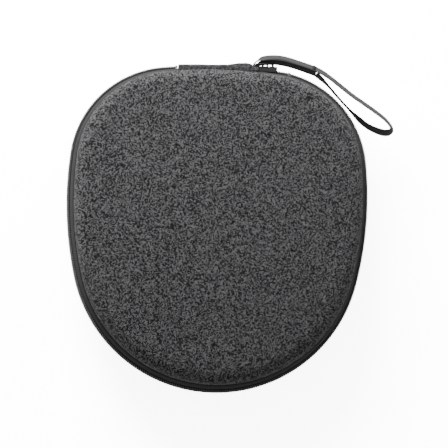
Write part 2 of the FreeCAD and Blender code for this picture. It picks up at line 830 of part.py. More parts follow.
def rest_block(doc, name, grow, low, high):
    """Rounded block in the middle of the base, grown sideways by an amount."""
    body = new_body(doc, name)
    sketch = flat_sketch(body, "plan", "XY_Plane", low)
    half_x = f"(Dims.rest_long / 2 + {grow})"
    half_y = f"(Dims.rest_wide / 2 + {grow})"
    forward = "Dims.rest_forward"
    rectangle(sketch, f"-{half_x}", half_x, f"-{half_y} - {forward}", f"{half_y} - {forward}")
    pad(body, "block", sketch, f"({high}) - ({low})")
    fillet(body, "corners", f"Dims.rest_corner + {grow}", along("Z"))
    top = value(body, high)
    fillet(body, "top_edge", f"Dims.rest_round + {grow}", at_height(top))
    return body


def headset_rest(doc):
    """Foam rest that the folded headphones sit round."""
    return rest_block(doc, "headset_rest", "0", FLOOR, "Dims.rest_top - Dims.cover_thick")


def rest_cover(doc):
    """Lining cloth moulded over the foam rest."""
    body = rest_block(doc, "rest_cover", "Dims.cover_thick", FLOOR, "Dims.rest_top")
    hollow(body, "cloth", "Dims.cover_thick", value(body, FLOOR))
    return body


def stitches(doc):
    """Bar tack through the doubled ribbon, proud of its outer face, where the loop begins."""
    tacks = doc.addObject("Part::Feature", "ribbon_tacks")
    tacks.Label = "ribbon_tacks"
    long, tall, proud, thick, level = (
        value(tacks, f"Dims.{name}")
        for name in ("stitch_long", "stitch_wide", "stitch_proud", "ribbon_thick", "parting")
    )
    run = sewn_run()
    tack = Part.makeBox(long, proud, tall, FreeCAD.Vector(-long / 2, thick / 2, -tall / 2))
    tack.rotate(FreeCAD.Vector(0, 0, 0), FreeCAD.Vector(0, 0, 1), math.degrees(heading(*run)))
    x, y = ((first + second) / 2 for first, second in zip(*run))
    tack.translate(FreeCAD.Vector(x, y + back_line(tacks), level))
    tacks.Shape = tack
    return tacks


def sewn_run():
    """The outer layer's run that passes the ribbon's sewn end."""
    runs = zip(RIBBON_ROUTE, RIBBON_ROUTE[1:])
    return next(run for run in runs if run[0][0] < RIBBON_ROUTE[0][0] < run[1][0])


def build_case(doc):
    """Every sub-part in its place."""
    names = ("outer_fabric", "shell_core", "lining")
    depths = ("0", "Dims.skin_thick", "(Dims.skin_thick + Dims.foam_thick)", FLOOR)
    thicks = ("Dims.skin_thick", "Dims.foam_thick", "Dims.lining_thick")
    parts = [
        base_layer(doc, f"base_{name}", depth, thick)
        for name, depth, thick in zip(names, depths, thicks)
    ]
    parts += lid_layers(doc, [f"lid_{name}" for name in names], depths)
    for side in ("base", "lid"):
        parts.append(bead(doc, side))
        parts.append(zip_tape(doc, side))
        parts.append(zip_coil(doc, side))
        parts.append(zip_stops(doc, side))
        parts.append(binding(doc, side))
    parts += [hinge_spine(doc), hinge_gusset(doc)]
    parts += [net(doc), pocket_hem(doc), pocket_piping(doc)]
    parts += [headset_rest(doc), rest_cover(doc)]
    parts += [ribbon(doc), stitches(doc)]
    parts += build_slider(doc)
    return parts


def build_slider(doc):
    """The slider, its bail and the pull ring, moved together to the parked place."""
    place = slider_place(doc)
    plate, bail, wire = slider_body(doc), slider_bail(doc), pull_ring(doc)
    plate.Placement = FreeCAD.Placement(place, FreeCAD.Rotation())
    bail.Placement = FreeCAD.Placement(place, FreeCAD.Rotation())
    shift = value(wire, "Dims.ring_shift")
    rise = value(wire, "Dims.ring_rise")
    wire.Placement = FreeCAD.Placement(place + FreeCAD.Vector(-shift, rise, 0), FreeCAD.Rotation())
    doc.recompute()
    return [plate, bail, wire]


def check(doc, parts):
    """Stop if anything failed to build."""
    for item in doc.Objects:
        if "Invalid" in item.State or "Error" in item.State:
            raise ValueError(f"{item.Label} failed: {item.State}")
    for part in parts:
        if part.Shape.isNull() or not part.Shape.isValid():
            raise ValueError(f"{part.Label} has no valid shape")


def main():
    doc = FreeCAD.newDocument("carrying_case")
    make_sheet(doc)
    parts = build_case(doc)
    doc.recompute()
    check(doc, parts)
    os.makedirs("parts", exist_ok=True)
    for part in parts:
        part.Shape.exportStep(f"parts/{part.Label}.step")
        print(part.Label, len(part.Shape.Solids), round(part.Shape.Volume, 1))


main()
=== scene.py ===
"""Looks of the zipped headphone case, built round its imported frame. Metres, +Z up, hinge at +Y."""
import math
import random

import bpy
import bmesh
import numpy as np
from mathutils import Matrix, Vector


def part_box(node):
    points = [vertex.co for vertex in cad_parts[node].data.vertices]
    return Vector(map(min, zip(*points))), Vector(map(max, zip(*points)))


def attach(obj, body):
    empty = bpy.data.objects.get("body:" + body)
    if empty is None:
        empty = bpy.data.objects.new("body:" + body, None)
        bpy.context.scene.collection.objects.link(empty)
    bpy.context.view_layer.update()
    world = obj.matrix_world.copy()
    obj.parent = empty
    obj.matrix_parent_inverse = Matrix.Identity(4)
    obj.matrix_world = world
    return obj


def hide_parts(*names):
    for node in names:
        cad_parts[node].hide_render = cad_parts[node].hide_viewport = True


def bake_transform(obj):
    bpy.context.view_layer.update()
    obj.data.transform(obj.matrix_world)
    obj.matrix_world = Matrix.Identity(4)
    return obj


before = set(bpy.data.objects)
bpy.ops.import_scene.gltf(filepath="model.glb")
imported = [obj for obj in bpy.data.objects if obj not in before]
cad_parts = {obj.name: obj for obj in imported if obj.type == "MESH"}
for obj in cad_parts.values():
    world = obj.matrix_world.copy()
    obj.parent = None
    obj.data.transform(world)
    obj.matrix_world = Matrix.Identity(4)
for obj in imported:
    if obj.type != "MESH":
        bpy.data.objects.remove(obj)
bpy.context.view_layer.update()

MM = 0.001
TAU = 2 * math.pi
UP = Vector((0, 0, 1))

# Outline of the closed zip: arc radii and centre places, as the frame has them, in millimetres
BACK_R, CORNER_R, SIDE_R, FRONT_R = 301.1, 65.7, 227.2, 92.9
BACK_Y, CORNER_X, SIDE_X = -195.8, 30.1, 130.4
BACK_LINE = BACK_Y + BACK_R
PARTING = 28.0
RIM = 7.0
APEX, CROWN_R, SHOULDER = 56.0, 700.0, 10.5
WALL = 5.0
# Inset of the inside of the bound rim from the closed zip line
INNER_EDGE = 11.1
# Depths under the outer cloth's face: that cloth's back, the lining's back and its seen face
CLOTH_BACK, LINING_BACK, LINING_FACE = 1.0, 4.5, 5.3

# Ribbon: width and thickness, and the points of its route in plan, from the back of the outline
RIBBON_WIDE, RIBBON_THICK = 7.6, 0.9
RIBBON_ROUTE = (
    (61.5, -2.95),
    (54.8, -0.7),
    (48.1, 1.3),
    (41.6, 2.9),
    (35.0, 3.75),
    (28.4, 3.45),
    (23.45, 2.1),
    (23.45, -0.3),
    (20.95, -0.3),
    (20.95, 2.2),
    (24.2, 4.9),
    (30.2, 6.7),
    (36.8, 7.0),
    (43.4, 5.9),
    (50.0, 3.8),
    (56.8, 1.8),
    (63.6, -0.6),
    (70.6, -4.9),
    (78.0, -10.6),
    (85.6, -16.4),
    (93.4, -21.4),
    (101.2, -26.6),
    (108.0, -31.5),
    (112.6, -37.6),
    (108.8, -40.6),
    (101.5, -38.8),
    (94.6, -35.6),
    (88.2, -30.0),
    (82.6, -24.6),
    (77.0, -18.7),
    (71.8, -12.9),
    (66.8, -7.4),
    (61.6, -3.05),
)
# How far the ribbon leans from upright, in degrees, at shares of its length
RIBBON_LEANS = (
    (0.0, 13),
    (0.17, 13),
    (0.20, 4),
    (0.22, 8),
    (0.24, 33),
    (0.40, 36),
    (0.47, 32),
    (0.62, 31),
    (0.70, 26),
    (0.80, 14),
    (0.86, -4),
    (0.94, -3),
    (1.0, 13),
)


# ---------------------------------------------------------------- outline

def arc_centres():
    """Centres of the back, corner, side and front arcs on the +X side."""
    corner_y = BACK_Y + math.sqrt((BACK_R - CORNER_R) ** 2 - CORNER_X**2)
    side_y = corner_y - math.sqrt((SIDE_R - CORNER_R) ** 2 - (CORNER_X + SIDE_X) ** 2)
    front_y = side_y - math.sqrt((SIDE_R - FRONT_R) ** 2 - SIDE_X**2)
    return (0.0, BACK_Y), (CORNER_X, corner_y), (-SIDE_X, side_y), (0.0, front_y)


CENTRES = arc_centres()


def turn(start, end):
    """Direction from one centre to the next, as an angle clockwise from +Y."""
    return math.atan2(end[0] - start[0], end[1] - start[1])


def half_arcs():
    """(centre, radius, first angle, last angle) of each arc from the back middle to the front."""
    back, corner, side, front = CENTRES
    first = turn(back, corner)
    second = turn(side, corner)
    third = turn(side, front)
    return (
        (back, BACK_R, 0.0, first),
        (corner, CORNER_R, first, second),
        (side, SIDE_R, second, third),
        (front, FRONT_R, third, math.pi),
    )


HALF_LENGTH = sum(radius * (last - first) for _, radius, first, last in half_arcs())
FULL_LENGTH = 2 * HALF_LENGTH


def outline_point(distance):
    """Point and outward normal of the outline, a distance clockwise from its back middle."""
    distance %= FULL_LENGTH
    mirrored = distance > HALF_LENGTH
    rest = FULL_LENGTH - distance if mirrored else distance
    for centre, radius, first, last in half_arcs():
        long = radius * (last - first)
        if rest <= long + 1e-9:
            break
        rest -= long
    angle = first + rest / radius
    nx, ny = math.sin(angle), math.cos(angle)
    x, y = centre[0] + radius * nx, centre[1] + radius * ny
    return ((-x, y), (-nx, ny)) if mirrored else ((x, y), (nx, ny))


def distance_at(x):
    """Distance along the outline of the back's point at this x, which may be negative."""
    back, corner = CENTRES[:2]
    first = turn(back, corner)
    size = abs(x)
    if size <= back[0] + BACK_R * math.sin(first):
        found = BACK_R * math.asin(size / BACK_R)
    else:
        found = BACK_R * first + CORNER_R * (math.asin((size - corner[0]) / CORNER_R) - first)
    return math.copysign(found, x)


def station(distance, inset, height):
    """A point in metres: so far along the outline, set in by inset, at a height."""
    (x, y), (nx, ny) = outline_point(distance)
    return Vector(((x - inset * nx) * MM, (y - inset * ny) * MM, height * MM))


# ---------------------------------------------------------------- meshes

def make_mesh(name, vertices, faces):
    mesh = bpy.data.meshes.new(name)
    mesh.from_pydata([tuple(v) for v in vertices], [], faces)
    mesh.validate()
    for polygon in mesh.polygons:
        polygon.use_smooth = True
    piece = bpy.data.objects.new(name, mesh)
    bpy.context.scene.collection.objects.link(piece)
    return piece


def grid_faces(rows, columns, closed=False, offset=0):
    """Quads of a grid of vertices stored row by row, where each row is a closed loop."""
    faces = []
    for i in range(rows if closed else rows - 1):
        for j in range(columns):
            a = offset + i * columns + j
            b = offset + i * columns + (j + 1) % columns
            c = offset + ((i + 1) % rows) * columns + (j + 1) % columns
            d = offset + ((i + 1) % rows) * columns + j
            faces.append((a, b, c, d))
    return faces


def end_caps(first, wide, total):
    """Faces over the first row, which starts at vertex first, and over the last of all vertices."""
    return [tuple(range(first, first + wide)), tuple(range(total - wide, total))[::-1]]


def make_solid(name, vertices, faces):
    """A mesh whose faces are all turned outwards."""
    piece = make_mesh(name, vertices, faces)
    mesh = bmesh.new()
    mesh.from_mesh(piece.data)
    bmesh.ops.recalc_face_normals(mesh, faces=mesh.faces)
    mesh.to_mesh(piece.data)
    mesh.free()
    return piece


def finish_piece(piece, slot, body, replaces=()):
    """Give a piece its slot's material and its body, and the nodes that it stands for."""
    piece.data.materials.append(MATERIALS[slot])
    if replaces:
        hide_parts(*replaces)
    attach(piece, body)


def swept_band(name, section, start, end, step, closed=False):
    """A closed section, (inset, height) pairs, carried along the outline from start to end."""
    count = max(8, round((end - start) / step))
    ends = count if closed else count + 1
    stations = [start + (end - start) * i / count for i in range(ends)]
    vertices = []
    for distance in stations:
        profile = section(distance) if callable(section) else section
        vertices += [station(distance, inset, height) for inset, height in profile]
    wide = len(vertices) // len(stations)
    faces = grid_faces(len(stations), wide, closed)
    if not closed:
        faces += end_caps(0, wide, len(vertices))
    return make_solid(name, vertices, faces)


def tubes(name, lines, radius, hint, sides=6):
    """Round tubes along lines of points, joined in one mesh; hint is never along a line."""
    vertices, faces = [], []
    for line in lines:
        offset = len(vertices)
        hints = hint if isinstance(hint, list) else [hint] * len(line)
        for index, centre in enumerate(line):
            ahead = (line[min(index + 1, len(line) - 1)] - line[max(index - 1, 0)]).normalized()
            across = ahead.cross(hints[index]).normalized()
            other = across.cross(ahead)
            for k in range(sides):
                angle = TAU * k / sides
                spoke = across * math.cos(angle) + other * math.sin(angle)
                vertices.append(centre + spoke * radius * MM)
        faces += grid_faces(len(line), sides, offset=offset)
        faces += end_caps(offset, sides, len(vertices))
    return make_solid(name, vertices, faces)


def mirrored(height, side):
    """The same height for the lid, or its mirror image below the parting plane for the base."""
    return PARTING + height if side == "lid" else PARTING - height


# ---------------------------------------------------------------- materials

def blank_material(name):
    material = bpy.data.materials.new(name)
    material.use_nodes = True
    return material, material.node_tree, material.node_tree.nodes["Principled BSDF"]


def add(tree, kind, **settings):
    node = tree.nodes.new(kind)
    for key, setting in settings.items():
        setattr(node, key, setting)
    return node


def wire(tree, source, output, target, socket):
    tree.links.new(source.outputs[output], target.inputs[socket])


def coordinates(tree, unit_mm=1.0):
    """Object coordinates, counted in a unit of so many millimetres."""
    place = add(tree, "ShaderNodeTexCoord")
    mapping = add(tree, "ShaderNodeMapping")
    mapping.inputs["Scale"].default_value = [1 / unit_mm / MM] * 3
    wire(tree, place, "Object", mapping, "Vector")
    return mapping


def ramp(tree, source, output, stops):
    """Map a value to colours through (place, colour) stops."""
    node = add(tree, "ShaderNodeValToRGB")
    elements = node.color_ramp.elements
    while len(elements) < len(stops):
        elements.new(0.5)
    for element, (place, colour) in zip(elements, stops):
        element.position = place
        element.color = (*colour, 1)
    wire(tree, source, output, node, "Fac")
    return node


def multiplied(tree, first, second):
    """Product of two colour outputs, each a (node, output) pair."""
    node = add(tree, "ShaderNodeMix", data_type="RGBA", blend_type="MULTIPLY")
    node.inputs[0].default_value = 1.0
    for socket, (source, output) in zip((6, 7), (first, second)):
        tree.links.new(source.outputs[output], node.inputs[socket])
    return node


def grey(level):
    """A very slightly cool grey."""
    return (level, level, level * 1.01)


def math_node(tree, operation, first, second=None):
    """Sum on one or two inputs, each a number or a (node, output) pair."""
    node = add(tree, "ShaderNodeMath", operation=operation)
    for index, item in enumerate((first, second)):
        if item is None:
            continue
        if isinstance(item, tuple):
            tree.links.new(item[0].outputs[item[1]], node.inputs[index])
        else:
            node.inputs[index].default_value = item
    return node


def bump(tree, shader, height, output, depth_mm, strength):
    """Relief of the shader's surface from one output."""
    node = add(tree, "ShaderNodeBump")
    node.inputs["Distance"].default_value = depth_mm * MM
    node.inputs["Strength"].default_value = strength
    wire(tree, height, output, node, "Height")
    wire(tree, node, "Normal", shader, "Normal")


def choose(tree, factor, first, second, kind="FLOAT"):
    """The first (node, output) pair where factor is 0, and the second where it is 1."""
    node = add(tree, "ShaderNodeMix", data_type=kind)
    sockets = (2, 3) if kind == "FLOAT" else (4, 5)
    for socket, (source, output) in zip((0, *sockets), (factor, first, second)):
        tree.links.new(source.outputs[output], node.inputs[socket])
    return node, 0 if kind == "FLOAT" else 1


def flat_coordinates(tree, place, bias):
    """Two thread coordinates across whichever way the surface faces, turned to lie on the bias."""
    spot = add(tree, "ShaderNodeSeparateXYZ")
    wire(tree, place, "Vector", spot, "Vector")
    source = add(tree, "ShaderNodeTexCoord")
    size = add(tree, "ShaderNodeVectorMath", operation="ABSOLUTE")
    wire(tree, source, "Normal", size, 0)
    facing = add(tree, "ShaderNodeSeparateXYZ")
    wire(tree, size, 0, facing, "Vector")
    planes = []
    for first, second in (("X", "Y"), ("Y", "Z"), ("X", "Z")):
        plane = add(tree, "ShaderNodeCombineXYZ")
        wire(tree, spot, first, plane, 0)
        wire(tree, spot, second, plane, 1)
        planes.append((plane, 0))
    upward = math_node(tree, "GREATER_THAN", (facing, "Z"), 0.6)
    sideways = math_node(tree, "GREATER_THAN", (facing, "X"), (facing, "Y"))
    wall = choose(tree, (sideways, 0), planes[2], planes[1], "VECTOR")
    flat = choose(tree, (upward, 0), wall, planes[0], "VECTOR")
    turned = add(tree, "ShaderNodeVectorRotate", rotation_type="Z_AXIS")
    turned.inputs["Angle"].default_value = bias
    tree.links.new(flat[0].outputs[flat[1]], turned.inputs["Vector"])
    split = add(tree, "ShaderNodeSeparateXYZ")
    wire(tree, turned, 0, split, "Vector")
    return (split, "X"), (split, "Y")


def yarn_tone(tree, yarn, along, seed):
    """Streaky grey of one yarn: its own number picks the streaks, which run along it."""
    spot = add(tree, "ShaderNodeCombineXYZ")
    tree.links.new(math_node(tree, "MULTIPLY", yarn, 7.31).outputs[0], spot.inputs[0])
    tree.links.new(math_node(tree, "MULTIPLY", along, 1.9).outputs[0], spot.inputs[1])
    spot.inputs[2].default_value = seed
    streak = add(tree, "ShaderNodeTexNoise")
    streak.inputs["Scale"].default_value = 1.0
    streak.inputs["Detail"].default_value = 2
    wire(tree, spot, 0, streak, "Vector")
    return streak, "Fac"


def canvas(name, dark, light, thread_mm, depth_mm=0.2, bias=0.1):
    """Melange canvas: a plain weave of round yarns, streaked with greys, the weft the darker."""
    material, tree, shader = blank_material(name)
    place = coordinates(tree, thread_mm)
    sway = add(tree, "ShaderNodeTexNoise")
    sway.inputs["Scale"].default_value = 0.16
    wire(tree, place, "Vector", sway, "Vector")
    swayed = add(tree, "ShaderNodeVectorMath", operation="MULTIPLY_ADD")
    wire(tree, sway, "Color", swayed, 0)
    swayed.inputs[1].default_value = (1.6, 1.6, 1.6)
    wire(tree, place, "Vector", swayed, 2)
    across, along = flat_coordinates(tree, swayed, bias)
    column = (math_node(tree, "FLOOR", across), 0)
    row = (math_node(tree, "FLOOR", along), 0)
    warp = yarn_tone(tree, column, along, 0.0)
    weft = yarn_tone(tree, row, across, 9.7)
    checks = math_node(tree, "ADD", column, row)
    parity = math_node(tree, "FLOORED_MODULO", (checks, 0), 2)
    deeper = math_node(tree, "SUBTRACT", weft, 0.16)
    yarn = choose(tree, (parity, 0), warp, (deeper, 0))
    crossing = add(tree, "ShaderNodeCombineXYZ")
    for socket, (source, output) in enumerate((column, row)):
        tree.links.new(source.outputs[output], crossing.inputs[socket])
    slub = add(tree, "ShaderNodeTexWhiteNoise", noise_dimensions="2D")
    wire(tree, crossing, 0, slub, "Vector")
    uneven = math_node(tree, "MULTIPLY_ADD", (slub, "Value"), 0.75)
    tree.links.new(yarn[0].outputs[yarn[1]], uneven.inputs[2])
    middle = (dark + light) * 0.25
    tone = ramp(tree, uneven, 0, ((0.55, grey(dark)), (0.76, grey(middle)), (1.0, grey(light))))
    rounds = []
    for part in (across, along):
        angle = math_node(tree, "MULTIPLY", part, math.pi)
        wave = math_node(tree, "SINE", (angle, 0))
        rounds.append((math_node(tree, "ABSOLUTE", (wave, 0)), 0))
    crown = math_node(tree, "MULTIPLY", *rounds)
    # Painted shade: the colour drops to 0.12 where the yarns' rounds fall away, in the crevices
    # between them.
    painted_gap_shade = ramp(tree, crown, 0, ((0.0, grey(0.12)), (0.32, grey(1.0))))
    colour = multiplied(tree, (tone, "Color"), (painted_gap_shade, "Color"))
    tree.links.new(colour.outputs[2], shader.inputs["Base Color"])
    bump(tree, shader, crown, 0, depth_mm, 0.8)
    shader.inputs["Roughness"].default_value = 0.95
    shader.inputs["Specular IOR Level"].default_value = 0.2
    shader.inputs["Sheen Weight"].default_value = 0.08
    shader.inputs["Sheen Roughness"].default_value = 0.5
    return material


def woven(name, level, pitch_mm, ratio=1.0, depth_mm=0.12, sheen=0.1, contrast=0.5):
    """Fine plain cloth with even yarns and a soft nap, or at a low contrast the grain of foam."""
    material, tree, shader = blank_material(name)
    place = coordinates(tree, pitch_mm)
    waves = []
    for part, closeness in zip(flat_coordinates(tree, place, 0.0), (1.0, ratio)):
        angle = math_node(tree, "MULTIPLY", part, TAU * closeness)
        waves.append((math_node(tree, "SINE", (angle, 0)), 0))
    height = math_node(tree, "ADD", *waves)
    level_map = math_node(tree, "MULTIPLY_ADD", (height, 0), 0.2)
    level_map.inputs[2].default_value = 0.5
    fuzz = add(tree, "ShaderNodeTexNoise")
    fuzz.inputs["Scale"].default_value = 1.7
    fuzz.inputs["Detail"].default_value = 5
    wire(tree, place, "Vector", fuzz, "Vector")
    both = math_node(tree, "ADD", (level_map, 0), (fuzz, "Fac"))
    half = math_node(tree, "MULTIPLY", (both, 0), 0.5)
    low, high = level * (1 - contrast), level * (1 + contrast)
    tone = ramp(tree, half, 0, ((0.3, grey(low)), (0.7, grey(high))))
    tree.links.new(tone.outputs["Color"], shader.inputs["Base Color"])
    bump(tree, shader, half, 0, depth_mm * 2, 0.8)
    shader.inputs["Roughness"].default_value = 0.9
    shader.inputs["Specular IOR Level"].default_value = 0.25
    shader.inputs["Sheen Weight"].default_value = sheen
    return material


def hard(name, level, rough, wear=0.0):
    """Nylon, lacquer or thread: fine scuffs in the roughness and lighter rubbed edges."""
    material, tree, shader = blank_material(name)
    place = coordinates(tree)
    scuff = add(tree, "ShaderNodeTexNoise")
    scuff.inputs["Scale"].default_value = 3.0
    scuff.inputs["Detail"].default_value = 6
    wire(tree, place, "Vector", scuff, "Vector")
    gloss = ramp(tree, scuff, "Fac", ((0.35, grey(rough * 0.8)), (0.7, grey(min(1, rough * 1.3)))))
    wire(tree, gloss, "Color", shader, "Roughness")
    geometry = add(tree, "ShaderNodeNewGeometry")
    edge = ramp(tree, geometry, "Pointiness", ((0.5, grey(level)), (0.62, grey(level + wear))))
    tint = ramp(tree, scuff, "Fac", ((0.3, grey(0.8)), (0.75, grey(1.0))))
    colour = multiplied(tree, (edge, "Color"), (tint, "Color"))
    tree.links.new(colour.outputs[2], shader.inputs["Base Color"])
    bump(tree, shader, scuff, "Fac", 0.02, 0.5)
    return material


MATERIALS = {
    "outer_fabric": canvas("melange_canvas", 0.002, 0.19, 0.64),
    # Painted shade: the bead is near-black to stand for the shaded crease between the shell's cloth
    # and the zip band, darker than the piping's own grey.
    "bead": woven("bead_painted_crease_shade", 0.015, 0.7, contrast=0.4),
    "zip_tape": woven("tape_weave", 0.052, 0.55, 1.6, 0.08, sheen=0.02),
    # The coil is lighter than its own dark nylon: part of its grey is painted highlight for the
    # glints on its teeth.
    "zip_coil": hard("coil_nylon_painted_glints", 0.2, 0.45, wear=0.05),
    "hinge_webbing": canvas("hinge_weave", 0.012, 0.10, 0.64, 0.15, 0.0),
    "lining": woven("lining_tricot", 0.03, 0.45, 1.0, 0.05, sheen=0.35, contrast=0.3),
    "binding": woven("binding_grosgrain", 0.03, 0.8, 1.5, 0.12),
    "elastic": woven("elastic_knit", 0.04, 0.6, 1.0, 0.12),
    "mesh": woven("net_polyester", 0.05, 0.5, 1.0, 0.05),
    "foam": woven("foam_cells", 0.02, 0.7, 1.0, 0.1, contrast=0.3),
    "slider_paint": hard("slider_lacquer", 0.006, 0.35, wear=0.03),
    "ring_wire": hard("ring_lacquer", 0.006, 0.3, wear=0.03),
    "ribbon": woven("ribbon_grosgrain", 0.048, 0.5, 1.0, 0.08, contrast=0.45),
    "thread": hard("sewing_thread", 0.02, 0.7),
}


# ---------------------------------------------------------------- camera and light

# Direction and roll of the camera in degrees, its distance and width of view in metres, the point
# in the parting plane that it looks at, and its sensor's width in millimetres
AZIMUTH, ELEVATION, ROLL = -30, 83, 1.5
CAMERA_DISTANCE, VIEW_WIDE = 1.1, 0.28672
TARGET = Vector((4.4 * MM, 2.6 * MM, PARTING * MM))
SENSOR = 36
# Place and size of the key light and half width of the table in metres, and the light's watts
KEY_PLACE, KEY_SIZE, KEY_POWER, TABLE_HALF = (-0.45, 1.3, 0.75), 0.9, 44, 3.0
# The table's white and glow to every ray, and what the camera's own rays add to them
TABLE_WHITE, TABLE_GLOW, SEEN_WHITE, SEEN_GLOW = 0.9, 0.3, 6.0, 7.0
# Strength of the surround at the sides, and how much stronger it is straight behind
SURROUND_LEVEL, SURROUND_SLOPE = 0.4, 0.32


def photo_camera():
    """Camera high over the front left, turned so that the hinge is at the top of the frame."""
    azimuth, elevation = math.radians(AZIMUTH), math.radians(ELEVATION)
    back = Vector(
        (
            math.sin(azimuth) * math.cos(elevation),
            -math.cos(azimuth) * math.cos(elevation),
            math.sin(elevation),
        )
    )
    roll = Matrix.Rotation(math.radians(ROLL), 3, back)
    up = roll @ (Vector((0, 1, 0)) - back * back.y).normalized()
    right = up.cross(back).normalized()
    data = bpy.data.cameras.new("photo_camera")
    data.sensor_width = SENSOR
    data.lens = SENSOR * CAMERA_DISTANCE / VIEW_WIDE
    camera = bpy.data.objects.new("photo_camera", data)
    bpy.context.scene.collection.objects.link(camera)
    basis = Matrix((right, up, back)).transposed().to_4x4()
    camera.matrix_world = Matrix.Translation(TARGET + back * CAMERA_DISTANCE) @ basis
    bpy.context.scene.camera = camera


def key_light():
    """Broad round light behind the case, towards the left."""
    data = bpy.data.lights.new("key", "AREA")
    data.shape = "DISK"
    data.size = KEY_SIZE
    data.energy = KEY_POWER
    light = bpy.data.objects.new("key", data)
    bpy.context.scene.collection.objects.link(light)
    light.location = KEY_PLACE
    light.rotation_euler = (-Vector(KEY_PLACE)).to_track_quat("-Z", "Y").to_euler()


def studio():
    """White table, far brighter to the camera than to the case, and a surround brighter behind."""
    size = TABLE_HALF
    corners = [(-size, -size, 0), (size, -size, 0), (size, size, 0), (-size, size, 0)]
    floor = make_mesh("table", corners, [(0, 1, 2, 3)])
    material, tree, shader = blank_material("table_white")
    shader.inputs["Roughness"].default_value = 0.9
    rays = add(tree, "ShaderNodeLightPath")
    white = math_node(tree, "MULTIPLY_ADD", (rays, "Is Camera Ray"), SEEN_WHITE)
    white.inputs[2].default_value = TABLE_WHITE
    wire(tree, white, 0, shader, "Base Color")
    shader.inputs["Emission Color"].default_value = (1, 1, 1, 1)
    glow = math_node(tree, "MULTIPLY_ADD", (rays, "Is Camera Ray"), SEEN_GLOW)
    glow.inputs[2].default_value = TABLE_GLOW
    wire(tree, glow, 0, shader, "Emission Strength")
    floor.data.materials.append(material)
    key_light()
    world = bpy.data.worlds.new("surround")
    world.use_nodes = True
    tree = world.node_tree
    background = tree.nodes["Background"]
    background.inputs["Color"].default_value = (1, 1, 1, 1)
    place = add(tree, "ShaderNodeTexCoord")
    split = add(tree, "ShaderNodeSeparateXYZ")
    wire(tree, place, "Generated", split, "Vector")
    spread = math_node(tree, "MULTIPLY_ADD", (split, "Y"), SURROUND_SLOPE)
    spread.inputs[2].default_value = SURROUND_LEVEL
    wire(tree, spread, 0, background, "Strength")
    bpy.context.scene.world = world


photo_camera()


# ---------------------------------------------------------------- ribbon

def route_points():
    """Points read from the ribbon's own smooth spline."""
    data = bpy.data.curves.new("ribbon_route", "CURVE")
    data.dimensions = "3D"
    data.resolution_u = 12
    spline = data.splines.new("NURBS")
    spline.points.add(len(RIBBON_ROUTE) - 1)
    for point, (x, y) in zip(spline.points, RIBBON_ROUTE):
        point.co = (x * MM, (y + BACK_LINE) * MM, PARTING * MM, 1)
    spline.order_u = 3
    spline.use_endpoint_u = True
    carrier = bpy.data.objects.new("ribbon_route", data)
    bpy.context.scene.collection.objects.link(carrier)
    line = bpy.data.meshes.new_from_object(carrier)
    points = [vertex.co.copy() for vertex in line.vertices]
    bpy.data.objects.remove(carrier)
    return points


def even_points(points, step):
    """Points a step apart along a line of points."""
    lengths = [0.0]
    for first, second in zip(points, points[1:]):
        lengths.append(lengths[-1] + (second - first).length)
    count = round(lengths[-1] / step)
    made, index = [], 0
    for k in range(count + 1):
        want = lengths[-1] * k / count
        while index < len(points) - 2 and lengths[index + 1] < want:
            index += 1
        share = (want - lengths[index]) / max(lengths[index + 1] - lengths[index], 1e-12)
        made.append(points[index].lerp(points[index + 1], min(share, 1)))
    return made, lengths[-1]


def smooth_step(low, high, value):
    share = min(max((value - low) / (high - low), 0), 1)
    return share * share * (3 - 2 * share)


def ribbon_tilt(share):
    """How far the ribbon leans at a share of its length."""
    for (low, first), (high, second) in zip(RIBBON_LEANS, RIBBON_LEANS[1:]):
        if share <= high:
            break
    return math.radians(first + (second - first) * smooth_step(low, high, share))


def ribbon():
    """Grosgrain ribbon: cross ribs, a looped selvedge and a lean that changes along it."""
    rib, rings_per_rib, picot_high = 0.95, 4, 0.16
    rings, long = even_points(route_points(), rib / rings_per_rib * MM)
    across = 9
    vertices = []
    count = len(rings)
    for index, centre in enumerate(rings):
        ahead = (rings[min(index + 1, count - 1)] - rings[max(index - 1, 0)]).normalized()
        lean = Matrix.Rotation(ribbon_tilt(index / (count - 1)), 3, ahead)
        upright = lean @ UP
        outward = ahead.cross(upright)
        wave = 0.5 + 0.5 * math.cos(index / rings_per_rib * TAU)
        picot = picot_high * math.cos(index / (2 * rings_per_rib) * TAU)
        half = RIBBON_WIDE / 2 + picot
        thick = RIBBON_THICK / 2 * (0.72 + 0.28 * wave)
        profile = []
        for k in range(across):
            part = -1 + 2 * k / (across - 1)
            edge = 1 - 0.55 * max(0.0, abs(part) - 0.8) / 0.2
            profile.append((part * half, thick * edge))
        ring = profile + [(u, -v) for u, v in reversed(profile)]
        vertices += [centre + upright * (u * MM) + outward * (v * MM) for u, v in ring]
    wide = 2 * across
    faces = grid_faces(count, wide) + end_caps(0, wide, len(vertices))
    piece = make_solid("pull_ribbon", vertices, faces)
    finish_piece(piece, "ribbon", "ribbon", ["ribbon_loop"])
    return piece, rings, long


